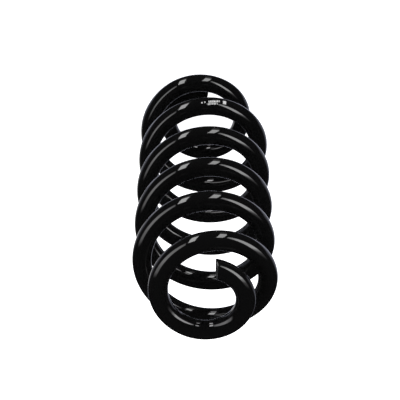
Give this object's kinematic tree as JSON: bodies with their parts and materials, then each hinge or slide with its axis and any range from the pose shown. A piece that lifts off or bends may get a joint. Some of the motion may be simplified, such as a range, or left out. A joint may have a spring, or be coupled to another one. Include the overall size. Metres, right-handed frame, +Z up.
{
  "type": "coil spring",
  "caption": "Helical compression spring of round steel wire for a vehicle suspension, cylindrical in the middle with both ends closed in to small pigtail coils.",
  "frame": {"origin": "on the spring's axis, at the level of the lowest point of the wire, where the lower seat touches", "axes": "+Z up along the spring's axis, from the lower end to the upper end; the wire's lower tip is at -Y; +X makes the frame right-handed"},
  "size_m": [0.104, 0.104, 0.2485],
  "materials": {
    "coated_wire": "gloss black powder coat over shot-peened spring steel"
  },
  "bodies": {
    "upper_end_coil": {"upper_end_coil": "coated_wire"},
    "coil_1_arc_1": {"coil_1_arc_1": "coated_wire"},
    "coil_1_arc_2": {"coil_1_arc_2": "coated_wire"},
    "coil_1_arc_3": {"coil_1_arc_3": "coated_wire"},
    "coil_1_arc_4": {"coil_1_arc_4": "coated_wire"},
    "coil_2_arc_1": {"coil_2_arc_1": "coated_wire"},
    "coil_2_arc_2": {"coil_2_arc_2": "coated_wire"},
    "coil_2_arc_3": {"coil_2_arc_3": "coated_wire"},
    "coil_2_arc_4": {"coil_2_arc_4": "coated_wire"},
    "coil_3_arc_1": {"coil_3_arc_1": "coated_wire"},
    "coil_3_arc_2": {"coil_3_arc_2": "coated_wire"},
    "coil_3_arc_3": {"coil_3_arc_3": "coated_wire"},
    "coil_3_arc_4": {"coil_3_arc_4": "coated_wire"},
    "coil_4_arc_1": {"coil_4_arc_1": "coated_wire"},
    "coil_4_arc_2": {"coil_4_arc_2": "coated_wire"},
    "coil_4_arc_3": {"coil_4_arc_3": "coated_wire"},
    "coil_4_arc_4": {"coil_4_arc_4": "coated_wire"},
    "coil_5_arc_1": {"coil_5_arc_1": "coated_wire"},
    "coil_5_arc_2": {"coil_5_arc_2": "coated_wire"},
    "coil_5_arc_3": {"coil_5_arc_3": "coated_wire"},
    "coil_5_arc_4": {"coil_5_arc_4": "coated_wire"},
    "lower_end_coil": {"lower_end_coil": "coated_wire"}
  },
  "joints": [
    {"name": "compression", "type": "slide", "parent": "lower_end_coil", "child": "upper_end_coil", "axis": [0, 0, 1], "range_m": [-0.1, 0], "stiffness_N_per_m": 103000},
    {"name": "coil_1_arc_1_follows", "type": "slide", "parent": "lower_end_coil", "child": "coil_1_arc_1", "axis": [0, 0, 1], "range_m": [-0.098, 0.0005]},
    {"name": "coil_1_arc_2_follows", "type": "slide", "parent": "lower_end_coil", "child": "coil_1_arc_2", "axis": [0, 0, 1], "range_m": [-0.093, 0.0005]},
    {"name": "coil_1_arc_3_follows", "type": "slide", "parent": "lower_end_coil", "child": "coil_1_arc_3", "axis": [0, 0, 1], "range_m": [-0.088, 0.0005]},
    {"name": "coil_1_arc_4_follows", "type": "slide", "parent": "lower_end_coil", "child": "coil_1_arc_4", "axis": [0, 0, 1], "range_m": [-0.083, 0.0005]},
    {"name": "coil_2_arc_1_follows", "type": "slide", "parent": "lower_end_coil", "child": "coil_2_arc_1", "axis": [0, 0, 1], "range_m": [-0.078, 0.0005]},
    {"name": "coil_2_arc_2_follows", "type": "slide", "parent": "lower_end_coil", "child": "coil_2_arc_2", "axis": [0, 0, 1], "range_m": [-0.073, 0.0005]},
    {"name": "coil_2_arc_3_follows", "type": "slide", "parent": "lower_end_coil", "child": "coil_2_arc_3", "axis": [0, 0, 1], "range_m": [-0.068, 0.0005]},
    {"name": "coil_2_arc_4_follows", "type": "slide", "parent": "lower_end_coil", "child": "coil_2_arc_4", "axis": [0, 0, 1], "range_m": [-0.063, 0.0005]},
    {"name": "coil_3_arc_1_follows", "type": "slide", "parent": "lower_end_coil", "child": "coil_3_arc_1", "axis": [0, 0, 1], "range_m": [-0.058, 0.0005]},
    {"name": "coil_3_arc_2_follows", "type": "slide", "parent": "lower_end_coil", "child": "coil_3_arc_2", "axis": [0, 0, 1], "range_m": [-0.053, 0.0005]},
    {"name": "coil_3_arc_3_follows", "type": "slide", "parent": "lower_end_coil", "child": "coil_3_arc_3", "axis": [0, 0, 1], "range_m": [-0.048, 0.0005]},
    {"name": "coil_3_arc_4_follows", "type": "slide", "parent": "lower_end_coil", "child": "coil_3_arc_4", "axis": [0, 0, 1], "range_m": [-0.043, 0.0005]},
    {"name": "coil_4_arc_1_follows", "type": "slide", "parent": "lower_end_coil", "child": "coil_4_arc_1", "axis": [0, 0, 1], "range_m": [-0.038, 0.0005]},
    {"name": "coil_4_arc_2_follows", "type": "slide", "parent": "lower_end_coil", "child": "coil_4_arc_2", "axis": [0, 0, 1], "range_m": [-0.033, 0.0005]},
    {"name": "coil_4_arc_3_follows", "type": "slide", "parent": "lower_end_coil", "child": "coil_4_arc_3", "axis": [0, 0, 1], "range_m": [-0.028, 0.0005]},
    {"name": "coil_4_arc_4_follows", "type": "slide", "parent": "lower_end_coil", "child": "coil_4_arc_4", "axis": [0, 0, 1], "range_m": [-0.023, 0.0005]},
    {"name": "coil_5_arc_1_follows", "type": "slide", "parent": "lower_end_coil", "child": "coil_5_arc_1", "axis": [0, 0, 1], "range_m": [-0.018, 0.0005]},
    {"name": "coil_5_arc_2_follows", "type": "slide", "parent": "lower_end_coil", "child": "coil_5_arc_2", "axis": [0, 0, 1], "range_m": [-0.013, 0.0005]},
    {"name": "coil_5_arc_3_follows", "type": "slide", "parent": "lower_end_coil", "child": "coil_5_arc_3", "axis": [0, 0, 1], "range_m": [-0.008, 0.0005]},
    {"name": "coil_5_arc_4_follows", "type": "slide", "parent": "lower_end_coil", "child": "coil_5_arc_4", "axis": [0, 0, 1], "range_m": [-0.003, 0.0005]}
  ],
  "couplings": [
    {"joint": "coil_1_arc_1_follows", "follows": "compression", "ratio": 0.975},
    {"joint": "coil_1_arc_2_follows", "follows": "compression", "ratio": 0.925},
    {"joint": "coil_1_arc_3_follows", "follows": "compression", "ratio": 0.875},
    {"joint": "coil_1_arc_4_follows", "follows": "compression", "ratio": 0.825},
    {"joint": "coil_2_arc_1_follows", "follows": "compression", "ratio": 0.775},
    {"joint": "coil_2_arc_2_follows", "follows": "compression", "ratio": 0.725},
    {"joint": "coil_2_arc_3_follows", "follows": "compression", "ratio": 0.675},
    {"joint": "coil_2_arc_4_follows", "follows": "compression", "ratio": 0.625},
    {"joint": "coil_3_arc_1_follows", "follows": "compression", "ratio": 0.575},
    {"joint": "coil_3_arc_2_follows", "follows": "compression", "ratio": 0.525},
    {"joint": "coil_3_arc_3_follows", "follows": "compression", "ratio": 0.475},
    {"joint": "coil_3_arc_4_follows", "follows": "compression", "ratio": 0.425},
    {"joint": "coil_4_arc_1_follows", "follows": "compression", "ratio": 0.375},
    {"joint": "coil_4_arc_2_follows", "follows": "compression", "ratio": 0.325},
    {"joint": "coil_4_arc_3_follows", "follows": "compression", "ratio": 0.275},
    {"joint": "coil_4_arc_4_follows", "follows": "compression", "ratio": 0.225},
    {"joint": "coil_5_arc_1_follows", "follows": "compression", "ratio": 0.175},
    {"joint": "coil_5_arc_2_follows", "follows": "compression", "ratio": 0.125},
    {"joint": "coil_5_arc_3_follows", "follows": "compression", "ratio": 0.075},
    {"joint": "coil_5_arc_4_follows", "follows": "compression", "ratio": 0.025}
  ]
}
